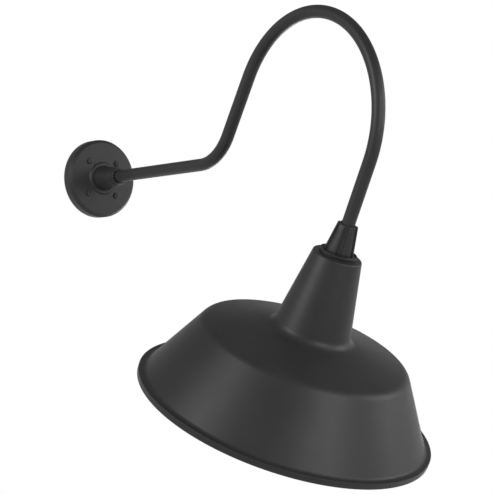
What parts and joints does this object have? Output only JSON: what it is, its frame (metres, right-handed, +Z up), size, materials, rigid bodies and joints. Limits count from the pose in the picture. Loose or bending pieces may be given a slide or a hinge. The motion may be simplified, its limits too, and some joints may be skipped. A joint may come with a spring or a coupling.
{
  "type": "gooseneck wall sconce",
  "caption": "Wall light: round cast wall plate, bent gooseneck tube arm, ribbed hub and a wide stepped shade with a rolled rim, over a screw lampholder.",
  "frame": {"origin": "centre of the wall plate's back, in the plane of the wall", "axes": "-Y out of the wall, +Z up, +X to the right for someone who faces the wall"},
  "size_m": [0.432, 0.7174, 0.674],
  "materials": {
    "black_coat": "satin black powder coat",
    "shade_coat": "satin black powder coat outside, gloss white enamel inside",
    "black_screw": "black oxide, low sheen",
    "zinc_steel": "zinc plated, dull",
    "brass": "plain drawn brass",
    "green_screw": "green passivated steel",
    "gasket_rubber": "matte foam rubber",
    "bush_nylon": "moulded, matte",
    "connector_cap": "moulded, semi-gloss",
    "lead_black": "insulation, semi-matte",
    "lead_white": "insulation, semi-matte",
    "lead_green": "insulation, semi-matte",
    "porcelain": "white glazed porcelain"
  },
  "bodies": {
    "wall_part": {"wall_plate": "black_coat", "wall_gasket": "gasket_rubber", "plate_screws": "black_screw", "boss_set_screw": "black_screw", "wire_connectors": "connector_cap", "lead_tail_black": "lead_black", "lead_tail_white": "lead_white", "ground_lead": "lead_green", "ground_screw": "green_screw"},
    "arm_part": {"gooseneck_arm": "black_coat", "arm_lock_nut": "zinc_steel", "wall_end_bush": "bush_nylon", "lamp_end_bush": "bush_nylon", "arm_lead_sleeve": "lead_black"},
    "head_part": {"ribbed_hub": "black_coat", "hub_set_screws": "black_screw", "neck_collar": "black_coat", "neck_gasket": "gasket_rubber", "shade": "shade_coat", "threaded_nipple": "zinc_steel", "neck_washer": "zinc_steel", "neck_lock_nut": "zinc_steel", "lampholder_bracket": "zinc_steel", "bracket_nut": "zinc_steel", "lampholder_screws": "zinc_steel", "lampholder_body": "porcelain", "screw_shell": "brass", "centre_contact": "brass", "terminal_screw_live": "brass", "terminal_screw_neutral": "zinc_steel", "head_lead_black": "lead_black", "head_lead_white": "lead_white"}
  },
  "joints": [
    {"name": "arm_swivel", "type": "hinge", "parent": "wall_part", "child": "arm_part", "pos_m": [0, 0, 0], "axis": [0, -1, 0], "range_deg": [-30, 30]},
    {"name": "shade_swivel", "type": "hinge", "parent": "arm_part", "child": "head_part", "pos_m": [0, -0.62352, -0.12267], "axis": [0, 0.4571, -0.8894], "range_deg": [-170, 170]}
  ]
}
